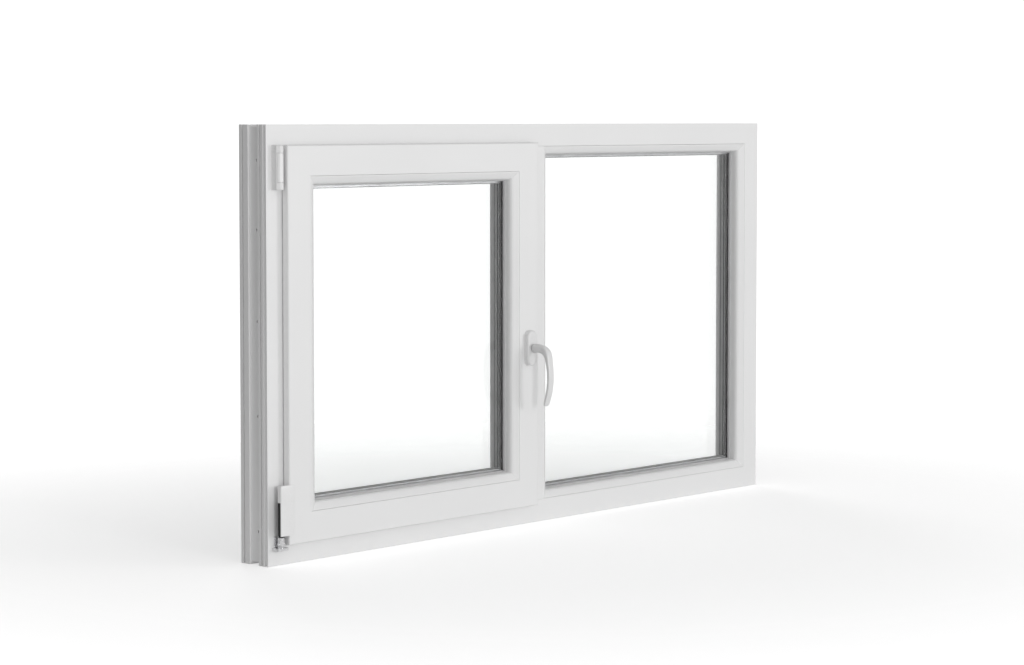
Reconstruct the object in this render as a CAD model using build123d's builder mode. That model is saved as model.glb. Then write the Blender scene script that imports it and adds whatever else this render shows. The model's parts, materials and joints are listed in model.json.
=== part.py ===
"""White plastic window: a tilt and turn sash beside a fixed light, seen from the room at -Y.

Millimetres. X runs along the width, +Y towards the outdoors, +Z up. The origin is at the middle
of the sill's underside, on the flat land that stands on the packers.
"""

import os
from math import pi

from build123d import *

# Outer frame
frame_w = 1400.0
frame_h = 770.0
frame_d = 70.0
frame_face = 43.0
frame_lip = 18.0
frame_lip_d = 14.0
lip_edge = 4.0
lip_fall = 6.0
land_from = 47.0
land_to = 59.0
wall = 3.0
web = 2.5
fixing_r = 3.5
fixing_depth = 28.0
fixings_above_sill = (59.0, 261.0)
fixings_below_head = (343.0, 183.0, 62.0)
side_channels = ((2.0, 9.0, 2.5), (14.0, 18.0, 4.0), (23.0, land_from, 5.0), (land_to, 63.0, 4.0))

# Mullion
mullion_face = 41.0

# Sash
overlap = 7.0
sash_proud = 17.0
seal_gap = 3.0
sash_d = 70.0
sash_face = 54.0
sash_lip = 18.0
sash_lip_d = 16.0
flange = 20.0

# Glazing, measured from the line where bead and profile meet
pane_t = 4.0
cavity = 16.0
gasket_t = 3.0
glass_edge_gap = 6.0
edge_seal_h = 10.0
spacer_h = 7.5
bead_w = 16.0
bead_lead = 0.3
gasket_h = 6.5
gasket_show = 2.5
block_length = 100.0

# Reinforcement
steel_gap = 0.3
steel_wall = 1.5
steel_setback = 75.0

# Hinges
hinge_out = 13.5
hinge_proud = 10.0
hinge_pin_r = 3.0
running = 0.05
barrel_r = 7.5
knuckle_r = 5.3
upper_hinge_h = 77.5
eye_h = 13.2
knuckle_gap = 0.3
band_drop = 44.0
tilt_lift = 3.0
stay_length = 300.0
stay_t = 2.5
stay_w = 12.0
stay_lift = 0.9
corner_h = 106.0

# Lock gear
hardware_depth = 27.0
handle_up = 306.0
mesh_gap = 0.5
module = 1.0
pinion_teeth = 14
rod_t = 2.0
rod_w = 11.0
rod_gap = 0.8
plate_t = 1.2
plate_w = 16.0
part_gap = 0.2
cam_r = 4.5
cam_neck_r = 2.6
cam_clear = 0.8
keep_t = 2.0
keep_margin = 14.0
side_rod_margins = (74.0, 94.0)
side_cam_margins = (164.0, 134.0)
top_rod_margins = (316.5, 66.5)
top_cam_margin = 186.5
stroke = pi * module * pinion_teeth / 2
case_half = 36.0

# Handle
rosette_h = 68.0
rosette_w = 28.0
rosette_t = 11.0
neck_r = 9.0
lever_w = 14.0
spindle_side = 6.0
screw_spacing = 43.0
screw_r = 2.5

# Drainage caps
cap_w = 42.0
cap_h = 12.0
cap_t = 2.5
cap_up = 22.0
cap_from_left = 252.0
cap_from_mullion = 280.0
cap_from_right = 196.0

# Places that follow
room_y = -(land_from + land_to) / 2
out_y = room_y + frame_d
half_w = frame_w / 2
half_mullion = mullion_face / 2
sash_y = room_y - sash_proud
sash_out_y = sash_y + sash_d
flange_t = sash_proud - seal_gap
sash_left = -half_w + frame_face - overlap
sash_right = -half_mullion + overlap
sash_low = frame_face - overlap
sash_high = frame_h - frame_face + overlap
hinge_x = sash_left - hinge_out
hinge_y = room_y - hinge_proud
upper_top = sash_high
upper_bottom = upper_top - upper_hinge_h
tilt_z = sash_low + tilt_lift
corner_top = sash_low + corner_h
fixing_heights = fixings_above_sill + tuple(frame_h - drop for drop in fixings_below_head)
hardware_y = sash_y + hardware_depth
rod_low = flange - rod_gap - rod_t
plate_low = rod_low - part_gap - plate_t
cam_top = overlap + keep_t + cam_clear
pinion_r = module * pinion_teeth / 2
handle_in = flange + pinion_r + mesh_gap
handle_x = sash_right - handle_in
handle_z = sash_low + handle_up

frame_rect = (-half_w, half_w, 0.0, frame_h)
sash_rect = (sash_left, sash_right, sash_low, sash_high)
fixed_beads = (half_mullion, half_w - frame_face, frame_face, frame_h - frame_face)
sash_beads = (sash_left + sash_face, sash_right - sash_face, sash_low + sash_face, sash_high - sash_face)

os.makedirs("parts", exist_ok=True)


def save(part, label):
    """Name a finished piece and write it."""
    part.label = label
    export_step(part, f"parts/{label}.step")


def section_plane(rect, side, y_face):
    """Section plane of one bar: local x runs inwards, local y outdoors, normal along the bar."""
    x_low, x_high, z_low, z_high = rect
    corners = {
        "top": ((x_low, y_face, z_high), (0, 0, -1), (1, 0, 0)),
        "bottom": ((x_high, y_face, z_low), (0, 0, 1), (-1, 0, 0)),
        "left": ((x_low, y_face, z_low), (1, 0, 0), (0, 0, 1)),
        "right": ((x_high, y_face, z_high), (-1, 0, 0), (0, 0, -1)),
    }
    origin, inwards, along = corners[side]
    return Plane(origin=origin, x_dir=inwards, z_dir=along)


def bar_length(rect, side):
    """Length of one side of a rectangle."""
    x_low, x_high, z_low, z_high = rect
    return x_high - x_low if side in ("top", "bottom") else z_high - z_low


def mitre_planes(plane, length):
    """The two 45 degree end cuts of a bar, both facing the stock that stays."""
    start = Plane(origin=plane.origin, x_dir=plane.y_dir, z_dir=plane.z_dir - plane.x_dir)
    far = plane.origin + plane.z_dir * length
    end = Plane(origin=far, x_dir=plane.y_dir, z_dir=(plane.z_dir + plane.x_dir) * -1)
    return start, end


def mitred_bar(rect, side, y_face, outline, chambers=(), rounds=()):
    """A hollow bar of one section, mitred at both ends."""
    plane = section_plane(rect, side, y_face)
    length = bar_length(rect, side)
    start, end = mitre_planes(plane, length)
    with BuildPart() as bar:
        with BuildSketch(plane) as section:
            with BuildLine():
                Polyline(*outline, close=True)
            make_face()
            for u, t, radius in rounds:
                corner = [v for v in section.vertices() if abs(v.X - u) + abs(v.Y - t) < 0.01]
                fillet(corner, radius)
            for u_low, u_high, t_low, t_high in chambers:
                with Locations(((u_low + u_high) / 2, (t_low + t_high) / 2)):
                    Rectangle(u_high - u_low, t_high - t_low, mode=Mode.SUBTRACT)
        extrude(amount=length)
        split(bisect_by=start, keep=Keep.TOP)
        split(bisect_by=end, keep=Keep.TOP)
    return bar.part


def ring(rect, inset, height, y_low, y_high):
    """A rectangular loop of rectangular section, set in from a rectangle."""
    x_low, x_high, z_low, z_high = rect
    middle = ((x_low + x_high) / 2, y_low, (z_low + z_high) / 2)
    width = x_high - x_low - 2 * inset
    tall = z_high - z_low - 2 * inset
    with BuildPart() as loop:
        with BuildSketch(Plane(origin=middle, x_dir=(1, 0, 0), z_dir=(0, 1, 0))):
            Rectangle(width, tall)
            Rectangle(width - 2 * height, tall - 2 * height, mode=Mode.SUBTRACT)
        extrude(amount=y_high - y_low)
    return loop.part


def block(low, high):
    """A plain block between two corners, for cutting and joining."""
    size = [b - a for a, b in zip(low, high)]
    centre = [(a + b) / 2 for a, b in zip(low, high)]
    return Pos(*centre) * Box(*size, mode=Mode.PRIVATE)


def rod_along(start, direction, radius, length):
    """A round bar from a point, for pins, shanks and drilled holes."""
    foot = (Align.CENTER, Align.CENTER, Align.MIN)
    return Plane(origin=start, z_dir=direction) * Cylinder(radius, length, align=foot, mode=Mode.PRIVATE)


# ---------------------------------------------------------------- outer frame

lip_start = frame_d - frame_lip_d
frame_outline = [
    (0, 0),
    (frame_face, 0),
    (frame_face, lip_start),
    (frame_face + frame_lip, lip_start),
    (frame_face + frame_lip, lip_start + lip_edge),
    (frame_face + frame_lip - lip_fall, frame_d),
    (0, frame_d),
]
for depth_from, depth_to, deep in reversed(side_channels):
    frame_outline += [(0, depth_to), (deep, depth_to), (deep, depth_from), (0, depth_from)]
frame_rounds = [
    (frame_face, 0, 1.2),
    (frame_face + frame_lip, lip_start + lip_edge, 1.5),
    (frame_face + frame_lip - lip_fall, frame_d, 2.5),
    (0, frame_d, 1.0),
]
chamber_low = 9.0
chamber_high = frame_face - wall
steel_from = 12.0
steel_to = 44.0
frame_chambers = [
    (chamber_low, chamber_high, wall, steel_from - web),
    (chamber_low, chamber_high, steel_from, steel_to),
    (chamber_low, chamber_high, steel_to + web, frame_d - wall),
    (frame_face, frame_face + frame_lip - lip_fall - wall, lip_start + wall, frame_d - wall),
]
fixing_y = room_y + fixing_depth
screw_x = 9.0
mullion_screw_r = 2.4
mullion_hole_r = 2.6


def fixing_drill(side):
    """The drilled fixing holes of one jamb, as one set of round bars."""
    start_x = side * (half_w + 5)
    return [
        rod_along((start_x, fixing_y, z), (-side, 0, 0), fixing_r, frame_face + 10) for z in fixing_heights
    ]


def mullion_drill(z_start, direction):
    """The clearance holes for the two screws that hold one end of the mullion."""
    return [
        rod_along((x, fixing_y, z_start), (0, 0, direction), mullion_hole_r, frame_face + 2)
        for x in (-screw_x, screw_x)
    ]


frame_bars = {
    "frame_head": ("top", mullion_drill(frame_h + 1, -1)),
    "frame_sill": ("bottom", mullion_drill(-1, 1)),
    "frame_jamb_hinge_side": ("left", fixing_drill(-1)),
    "frame_jamb_fixed_side": ("right", fixing_drill(1)),
}
for name, (side, drills) in frame_bars.items():
    bar = mitred_bar(frame_rect, side, room_y, frame_outline, frame_chambers, frame_rounds)
    with BuildPart() as frame_bar:
        add(bar)
        for drill in drills:
            add(drill, mode=Mode.SUBTRACT)
    save(frame_bar.part, name)


def steel_bar(rect, side, y_face, low, high, depth_from, depth_to, setback):
    """A square-cut rectangular steel tube lying in a bar's main chamber."""
    plane = section_plane(rect, side, y_face)
    length = bar_length(rect, side) - 2 * setback
    outer_w = high - low - 2 * steel_gap
    outer_d = depth_to - depth_from - 2 * steel_gap
    with BuildPart() as tube:
        with BuildSketch(plane.offset(setback)):
            with Locations(((low + high) / 2, (depth_from + depth_to) / 2)):
                Rectangle(outer_w, outer_d)
                Rectangle(outer_w - 2 * steel_wall, outer_d - 2 * steel_wall, mode=Mode.SUBTRACT)
        extrude(amount=length)
    return tube.part


with BuildPart() as frame_steel:
    for side in ("top", "bottom", "left", "right"):
        add(steel_bar(frame_rect, side, room_y, chamber_low, chamber_high, steel_from, steel_to, steel_setback))
    for drill in fixing_drill(-1) + fixing_drill(1):
        add(drill, mode=Mode.SUBTRACT)
    for drill in mullion_drill(frame_h + 1, -1) + mullion_drill(-1, 1):
        add(drill, mode=Mode.SUBTRACT)
save(frame_steel.part, "frame_reinforcement")

# -------------------------------------------------------------------- mullion

mullion_low = frame_face
mullion_high = frame_h - frame_face
lip_low = frame_face + frame_lip
inner_half = half_mullion - wall
outer_lip_y = out_y - frame_lip_d
lip_reach = half_mullion + frame_lip
lip_end = [
    (outer_lip_y, mullion_low),
    (outer_lip_y, lip_low),
    (outer_lip_y + lip_edge, lip_low),
    (out_y, lip_low - lip_fall),
    (out_y, mullion_low),
]
with BuildPart() as mullion:
    with BuildSketch(Plane.XY.offset(mullion_low)):
        with Locations((0, room_y + frame_d / 2)):
            Rectangle(mullion_face, frame_d)
        with BuildLine():
            Polyline(
                (-lip_reach, outer_lip_y),
                (lip_reach, outer_lip_y),
                (lip_reach, outer_lip_y + lip_edge),
                (lip_reach - lip_fall, out_y),
                (lip_fall - lip_reach, out_y),
                (-lip_reach, outer_lip_y + lip_edge),
                close=True,
            )
        make_face()
        for depth_from, depth_to in (
            (wall, steel_from - web),
            (steel_from, steel_to),
            (steel_to + web, frame_d - wall),
        ):
            with Locations((0, room_y + (depth_from + depth_to) / 2)):
                Rectangle(2 * inner_half, depth_to - depth_from, mode=Mode.SUBTRACT)
        lip_hollow = frame_lip - lip_fall - wall
        with Locations(
            (half_mullion + lip_hollow / 2, out_y - frame_lip_d / 2),
            (-half_mullion - lip_hollow / 2, out_y - frame_lip_d / 2),
        ):
            Rectangle(lip_hollow, frame_lip_d - 2 * wall, mode=Mode.SUBTRACT)
    extrude(amount=mullion_high - mullion_low)
    for at_head in (False, True):
        with BuildSketch(Plane.YZ):
            with BuildLine():
                Polyline(*[(y, frame_h - z if at_head else z) for y, z in lip_end], close=True)
            make_face()
        extrude(amount=half_w, both=True, mode=Mode.SUBTRACT)
save(mullion.part, "mullion")

connector_h = 30.0
screw_end = 4.0
connector_w = 2 * inner_half - 2 * steel_gap
connector_d = steel_to - steel_from - 2 * steel_gap
with BuildPart() as connectors:
    for z_low, z_high in (
        (mullion_low, mullion_low + connector_h),
        (mullion_high - connector_h, mullion_high),
    ):
        y_middle = room_y + (steel_from + steel_to) / 2
        low = (-connector_w / 2, y_middle - connector_d / 2, z_low)
        high = (connector_w / 2, y_middle + connector_d / 2, z_high)
        add(block(low, high))
        for x in (-screw_x, screw_x):
            add(rod_along((x, fixing_y, z_low), (0, 0, 1), mullion_screw_r, connector_h), mode=Mode.SUBTRACT)
save(connectors.part, "mullion_connectors")

screw_head_r = 4.2
screw_head_t = 3.0
channel_floor = side_channels[2][2]
with BuildPart() as mullion_screws:
    for x in (-screw_x, screw_x):
        for z_seat, up in ((channel_floor, 1), (frame_h - channel_floor, -1)):
            shank = frame_face - channel_floor + connector_h - screw_end
            add(rod_along((x, fixing_y, z_seat), (0, 0, up), mullion_screw_r, shank))
            add(rod_along((x, fixing_y, z_seat), (0, 0, -up), screw_head_r, screw_head_t))
save(mullion_screws.part, "mullion_screws")

with BuildPart() as mullion_steel:
    with BuildSketch(Plane.XY.offset(mullion_low + connector_h + 1)):
        with Locations((0, room_y + (steel_from + steel_to) / 2)):
            Rectangle(connector_w, connector_d)
            Rectangle(connector_w - 2 * steel_wall, connector_d - 2 * steel_wall, mode=Mode.SUBTRACT)
    extrude(amount=mullion_high - mullion_low - 2 * connector_h - 2)
save(mullion_steel.part, "mullion_reinforcement")

# ------------------------------------------------------------------------ sash

lip_t = sash_d - sash_lip_d
sash_outline = [
    (0, 0),
    (sash_face, 0),
    (sash_face, lip_t),
    (sash_face + sash_lip, lip_t),
    (sash_face + sash_lip, lip_t + lip_edge),
    (sash_face + sash_lip - lip_fall, sash_d),
    (flange, sash_d),
    (flange, flange_t),
    (0, flange_t),
]
sash_rounds = [
    (0, 0, 3.0),
    (sash_face, 0, 1.0),
    (sash_face + sash_lip, lip_t + lip_edge, 1.5),
    (sash_face + sash_lip - lip_fall, sash_d, 2.5),
    (0, flange_t, 1.0),
]
gear_from = flange_t
gear_to = 36.0
sash_steel_from = gear_to + wall
sash_steel_to = sash_d - wall
gear_low = flange + wall
gear_high = sash_face - wall
sash_chambers = [
    (wall, gear_high, wall, flange_t - wall),
    (gear_low, gear_high, gear_from, gear_to),
    (gear_low, gear_high, sash_steel_from, sash_steel_to),
    (sash_face, sash_face + sash_lip - lip_fall - wall, lip_t + wall, sash_d - wall),
]
case_d = 17.0
slot_half = case_half + 0.2
handle_hole_r = 6.0
gear_slot = block(
    (sash_right - gear_low - 0.5, hardware_y - case_d / 2 - 0.2, handle_z - slot_half),
    (sash_right - flange + 0.5, hardware_y + case_d / 2 + 0.2, handle_z + slot_half),
)
handle_hole = rod_along((handle_x, sash_y - 1, handle_z), (0, 1, 0), handle_hole_r, flange_t + 3)
screw_holes = [
    rod_along((handle_x, sash_y - 1, handle_z + step), (0, 1, 0), screw_r + part_gap, flange_t + 3)
    for step in (-screw_spacing / 2, screw_spacing / 2)
]
sash_bars = {
    "sash_top_rail": ("top", []),
    "sash_bottom_rail": ("bottom", []),
    "sash_hinge_stile": ("left", []),
    "sash_lock_stile": ("right", [gear_slot, handle_hole] + screw_holes),
}
for name, (side, cuts) in sash_bars.items():
    bar = mitred_bar(sash_rect, side, sash_y, sash_outline, sash_chambers, sash_rounds)
    with BuildPart() as sash_bar:
        add(bar)
        for cut in cuts:
            add(cut, mode=Mode.SUBTRACT)
    save(sash_bar.part, name)

with BuildPart() as sash_steel:
    for side in ("top", "bottom", "left", "right"):
        add(steel_bar(sash_rect, side, sash_y, gear_low, gear_high, sash_steel_from, sash_steel_to, steel_setback))
save(sash_steel.part, "sash_reinforcement")

# --------------------------------------------------------------------- glazing


def bead_outline(depth):
    """Section of a glazing bead: a small step, a sloping face, a rounded nose and a deep flank."""
    return [
        (bead_lead, 0.8),
        (1.6, 0.4),
        (3.0, 1.0),
        (10.5, 5.4),
        (13.2, 7.5),
        (15.0, 10.3),
        (bead_w, 14.5),
        (bead_w, depth),
        (bead_lead, depth),
    ]


def glaze(light, beads, y_face, lip_y):
    """Everything that fills one light: beads, gaskets, two panes, spacer, edge seal and blocks."""
    outer_y = lip_y - gasket_t
    inner_y = outer_y - 2 * pane_t - cavity
    bead_depth = inner_y - gasket_t - y_face
    for side in ("top", "bottom", "left", "right"):
        bead = mitred_bar(beads, side, y_face, bead_outline(bead_depth))
        save(bead, f"{light}_bead_{side}")
    gasket_at = bead_w + gasket_show - gasket_h
    with BuildPart() as gaskets:
        add(ring(beads, gasket_at, gasket_h, inner_y - gasket_t, inner_y))
        add(ring(beads, gasket_at, gasket_h, outer_y, lip_y))
    save(gaskets.part, f"{light}_glazing_gaskets")
    x_low, x_high, z_low, z_high = beads
    for label, y_low in (("inside", inner_y), ("outside", outer_y - pane_t)):
        low = (x_low + glass_edge_gap, y_low, z_low + glass_edge_gap)
        high = (x_high - glass_edge_gap, y_low + pane_t, z_high - glass_edge_gap)
        with BuildPart() as pane:
            add(block(low, high))
        save(pane.part, f"{light}_pane_{label}")
    cavity_from = inner_y + pane_t
    cavity_to = cavity_from + cavity
    seal = ring(beads, glass_edge_gap, edge_seal_h, cavity_from, cavity_to)
    save(seal, f"{light}_edge_seal")
    spacer = ring(beads, glass_edge_gap + edge_seal_h, spacer_h, cavity_from, cavity_to)
    save(spacer, f"{light}_spacer")
    with BuildPart() as blocks:
        quarter = (x_high - x_low) / 4
        for x in (x_low + quarter, x_high - quarter):
            low = (x - block_length / 2, inner_y, z_low)
            high = (x + block_length / 2, outer_y, z_low + glass_edge_gap)
            add(block(low, high))
    save(blocks.part, f"{light}_setting_blocks")


glaze("fixed", fixed_beads, room_y, out_y - frame_lip_d)
glaze("sash", sash_beads, sash_y, sash_out_y - sash_lip_d)

# ---------------------------------------------------------------- frame gasket

seal_t = seal_gap - 0.4
lip_gasket_w = 5.0
frame_light = (-half_w + lip_low, -half_mullion - frame_lip, lip_low, frame_h - lip_low)
frame_gasket = ring(frame_light, -lip_gasket_w, lip_gasket_w, out_y - frame_lip_d - seal_t, out_y - frame_lip_d)
save(frame_gasket, "frame_gasket")
sash_gasket = ring(sash_rect, 1.0, lip_gasket_w, sash_y + flange_t, sash_y + flange_t + seal_t)

# ----------------------------------------------------------------- upper hinge

bracket_t = 2.9
bracket_right = hinge_x - barrel_r - knuckle_gap
bracket_left = bracket_right - bracket_t
bracket_y = hinge_y - 1.0
eye_reach = 5.0
with BuildPart() as upper_bracket:
    for z_low in (upper_bottom, upper_top - eye_h):
        with BuildSketch(Plane.XY.offset(z_low)):
            with Locations((hinge_x, hinge_y)):
                Circle(barrel_r)
            with Locations(((bracket_left + hinge_x + eye_reach) / 2, (hinge_y + room_y) / 2)):
                Rectangle(hinge_x + eye_reach - bracket_left, hinge_proud)
            with Locations((hinge_x, hinge_y)):
                Circle(hinge_pin_r, mode=Mode.SUBTRACT)
        extrude(amount=eye_h)
    add(block((bracket_left, bracket_y, upper_bottom), (bracket_right, room_y, upper_top)))
save(upper_bracket.part, "upper_hinge_bracket")

with BuildPart() as upper_pin:
    with BuildSketch(Plane.XY.offset(upper_bottom)):
        with Locations((hinge_x, hinge_y)):
            Circle(hinge_pin_r)
    extrude(amount=upper_top - upper_bottom)
save(upper_pin.part, "upper_hinge_pin")

# The stay arm turns on the pin, passes behind the sash's flange and lies over the top rail.
knuckle_low = upper_bottom + eye_h + knuckle_gap
knuckle_high = upper_top - eye_h - knuckle_gap
band_low = sash_high - band_drop
band_gap = 0.3
band_y_low = room_y - seal_gap + band_gap
band_y_high = room_y - band_gap
crank_x = -half_w + frame_face + 1.5
crank_t = 3.0
arm_neck = 4.0
stay_z = sash_high - plate_low + stay_lift
stay_x_end = hinge_x + stay_length
stay_end_r = stay_w / 2
with BuildPart() as stay_arm:
    with BuildSketch(Plane.XY.offset(knuckle_low)):
        with Locations((hinge_x, hinge_y)):
            Circle(knuckle_r)
    extrude(amount=knuckle_high - knuckle_low)
    add(block((hinge_x, hinge_y, band_low), (hinge_x + arm_neck, band_y_high, knuckle_high)))
    add(block((hinge_x, band_y_low, band_low), (crank_x + crank_t, band_y_high, knuckle_high)))
    add(block((crank_x, band_y_low, band_low), (crank_x + crank_t, hardware_y + stay_w / 2, knuckle_high)))
    with BuildSketch(Plane.XY.offset(stay_z)):
        with Locations(((crank_x + stay_x_end) / 2, hardware_y)):
            Rectangle(stay_x_end - crank_x, stay_w)
        with Locations((stay_x_end, hardware_y)):
            Circle(stay_end_r)
    extrude(amount=stay_t)
    bore_foot = (hinge_x, hinge_y, upper_bottom)
    add(rod_along(bore_foot, (0, 0, 1), hinge_pin_r + running, upper_hinge_h), mode=Mode.SUBTRACT)
save(stay_arm.part, "stay_arm")

sleeve_end_gap = 0.2
with BuildPart() as sleeve:
    with BuildSketch(Plane.XY.offset(knuckle_low + sleeve_end_gap)):
        with Locations((hinge_x, hinge_y)):
            Circle(barrel_r - knuckle_gap)
            Circle(knuckle_r + running, mode=Mode.SUBTRACT)
        with Locations((hinge_x + arm_neck / 2, hinge_y + barrel_r / 2)):
            Rectangle(arm_neck + 2 * band_gap, barrel_r, mode=Mode.SUBTRACT)
    extrude(amount=knuckle_high - knuckle_low - 2 * sleeve_end_gap)
save(sleeve.part, "stay_arm_cover")

# ----------------------------------------------------------------- lower hinge

pivot_r = 4.0
bearing_t = 5.0
bearing_top = tilt_z - 6.0
bearing_low = bearing_top - bearing_t
bearing_left = hinge_x - 13.0
bearing_right = hinge_x + 12.0
bearing_front = hinge_y - 8.0
back_plate_t = 1.8
back_plate_top = tilt_z + 13.0
back_plate_left = hinge_x - 9.0
swivel_r = 5.6
swivel_half = 3.5
swivel_low = bearing_top + 0.3
swivel_top = tilt_z + 5.5
tilt_pin_r = 2.5
tilt_pin_half = 6.6
with BuildPart() as corner_bearing:
    add(block((bearing_left, bearing_front, bearing_low), (bearing_right, room_y, bearing_top)))
    fillet(corner_bearing.edges().filter_by(Axis.Z).group_by(Axis.Y)[0], 4.0)
    add(block((back_plate_left, room_y - back_plate_t, bearing_low), (bearing_right, room_y, back_plate_top)))
    add(rod_along((hinge_x, hinge_y, bearing_low), (0, 0, 1), pivot_r + running, bearing_t), mode=Mode.SUBTRACT)
save(corner_bearing.part, "corner_bearing")

with BuildPart() as corner_pivot:
    with BuildSketch(Plane.XY.offset(bearing_low)):
        with Locations((hinge_x, hinge_y)):
            Circle(pivot_r)
    extrude(amount=swivel_low - bearing_low)
    with BuildSketch(Plane.XY.offset(swivel_low)):
        with Locations((hinge_x, hinge_y)):
            Circle(swivel_r)
    extrude(amount=swivel_top - swivel_low)
    for x_low in (hinge_x - 2 * swivel_r, hinge_x + swivel_half):
        flat_low = (x_low, hinge_y - swivel_r, swivel_low)
        flat_high = (x_low + 2 * swivel_r - swivel_half, hinge_y + swivel_r, swivel_top)
        add(block(flat_low, flat_high), mode=Mode.SUBTRACT)
    add(rod_along((hinge_x - tilt_pin_half, hinge_y, tilt_z), (1, 0, 0), tilt_pin_r, 2 * tilt_pin_half))
save(corner_pivot.part, "corner_pivot")

ear_t = 2.6
ear_gap = 0.3
ear_half = 3.0
ear_drop = 3.2
corner_barrel_low = tilt_z + 9.0
corner_barrel_r = barrel_r - 1.1
strap_t = 4.0
strap_y = hinge_y - 1.0
with BuildPart() as corner_hinge:
    for x_low in (hinge_x - swivel_half - ear_gap - ear_t, hinge_x + swivel_half + ear_gap):
        ear_low = (x_low, hinge_y - ear_half, tilt_z - ear_drop)
        add(block(ear_low, (x_low + ear_t, hinge_y + ear_half, corner_barrel_low)))
    with BuildSketch(Plane.XY.offset(corner_barrel_low)):
        with Locations((hinge_x, hinge_y)):
            Circle(corner_barrel_r)
        with Locations(((hinge_x + sash_left) / 2, strap_y)):
            Rectangle(sash_left - hinge_x, strap_t)
    extrude(amount=corner_top - wall - corner_barrel_low)
    bore_foot = (hinge_x - barrel_r, hinge_y, tilt_z)
    add(rod_along(bore_foot, (1, 0, 0), tilt_pin_r + running, 2 * barrel_r), mode=Mode.SUBTRACT)
save(corner_hinge.part, "corner_hinge")

cover_wrap = 9.0
cover_proud = 3.0
cover_gap = 0.2
cover_skin = 1.5
cover_low = tilt_z + 12.0
cover_bar_d = hinge_y + 1.3 - sash_y
with BuildPart() as corner_cover:
    with BuildSketch(Plane.XY.offset(cover_low)):
        with Locations((hinge_x, hinge_y)):
            Circle(corner_barrel_r + cover_gap + cover_skin)
        with Locations(((hinge_x + sash_left) / 2, sash_y + cover_bar_d / 2)):
            Rectangle(sash_left - hinge_x, cover_bar_d + 2 * cover_gap)
        with Locations(((hinge_x + sash_left + cover_wrap) / 2, sash_y - cover_proud / 2)):
            Rectangle(sash_left + cover_wrap - hinge_x, cover_proud)
        with Locations((hinge_x, hinge_y)):
            Circle(corner_barrel_r + cover_gap, mode=Mode.SUBTRACT)
        with Locations(((hinge_x + sash_left) / 2, strap_y)):
            Rectangle(sash_left - hinge_x, strap_t + 2 * cover_gap, mode=Mode.SUBTRACT)
    extrude(amount=corner_top - cover_low)
save(corner_cover.part, "corner_hinge_cover")

with BuildPart() as sash_seal:
    add(sash_gasket)
    seal_cut_low = (hinge_x, band_y_low - 3, band_low - 1)
    add(block(seal_cut_low, (crank_x + crank_t + 3, band_y_high + 3, knuckle_high + 1)), mode=Mode.SUBTRACT)
save(sash_seal.part, "sash_overlap_gasket")

# ------------------------------------------------------------------- lock gear


def rack_tooth(z):
    """One rack tooth on the inner side of the side rod, as four corners in x and z."""
    root = sash_right - flange + rod_gap
    tip = handle_x + pinion_r - 0.9 * module
    half_root = 1.05
    half_tip = 0.32
    return [(root + 0.1, z - half_root), (root + 0.1, z + half_root), (tip, z + half_tip), (tip, z - half_tip)]


side_rod_low = sash_low + side_rod_margins[0]
side_rod_high = sash_high - side_rod_margins[1]
side_cams = (sash_low + side_cam_margins[0], sash_high - side_cam_margins[1])
rack_teeth = pinion_teeth // 2 + 4
rack_w = 9.0
cam_t = 2.5
rod_x_out = sash_right - rod_low
rod_x_in = rod_x_out - rod_t
with BuildPart() as side_rod:
    add(block((rod_x_in, hardware_y - rod_w / 2, side_rod_low), (rod_x_out, hardware_y + rod_w / 2, side_rod_high)))
    for index in range(rack_teeth):
        z = handle_z + pi * module * (index - 1.5)
        with BuildSketch(Plane(origin=(0, hardware_y - rack_w / 2, 0), x_dir=(1, 0, 0), z_dir=(0, -1, 0))):
            with BuildLine():
                Polyline(*rack_tooth(z), close=True)
            make_face()
        extrude(amount=-rack_w)
    for z in side_cams:
        add(rod_along((rod_x_in, hardware_y, z), (1, 0, 0), cam_neck_r, sash_right - cam_top - rod_x_in))
        add(rod_along((sash_right - cam_top - cam_t, hardware_y, z), (1, 0, 0), cam_r, cam_t))
save(side_rod.part, "side_lock_rod")

rod_z_high = sash_high - rod_low
rod_z_low = rod_z_high - rod_t
top_rod_from = sash_right - top_rod_margins[0]
top_rod_to = sash_right - top_rod_margins[1]
top_cam_x = sash_right - top_cam_margin
with BuildPart() as top_rod:
    add(block((top_rod_from, hardware_y - rod_w / 2, rod_z_low), (top_rod_to, hardware_y + rod_w / 2, rod_z_high)))
    add(rod_along((top_cam_x, hardware_y, rod_z_low), (0, 0, 1), cam_neck_r, sash_high - cam_top - rod_z_low))
    add(rod_along((top_cam_x, hardware_y, sash_high - cam_top - cam_t), (0, 0, 1), cam_r, cam_t))
save(top_rod.part, "top_lock_rod")

slot_r = cam_neck_r + 0.4
plate_x_out = sash_right - plate_low
plate_z_high = sash_high - plate_low
with BuildPart() as faceplates:
    low = (plate_x_out - plate_t, hardware_y - plate_w / 2, side_rod_low - stroke - 8)
    high = (plate_x_out, hardware_y + plate_w / 2, sash_high - flange)
    add(block(low, high))
    for z in side_cams:
        low = (plate_x_out - 2 * plate_t, hardware_y - slot_r, z - stroke - slot_r)
        high = (plate_x_out + plate_t, hardware_y + slot_r, z + slot_r)
        add(block(low, high), mode=Mode.SUBTRACT)
    low = (crank_x + 2 * crank_t, hardware_y - plate_w / 2, plate_z_high - plate_t)
    high = (plate_x_out - 2, hardware_y + plate_w / 2, plate_z_high)
    add(block(low, high))
    low = (top_cam_x - slot_r, hardware_y - slot_r, plate_z_high - 2 * plate_t)
    high = (top_cam_x + stroke + slot_r, hardware_y + slot_r, plate_z_high + plate_t)
    add(block(low, high), mode=Mode.SUBTRACT)
save(faceplates.part, "lock_faceplates")

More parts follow.
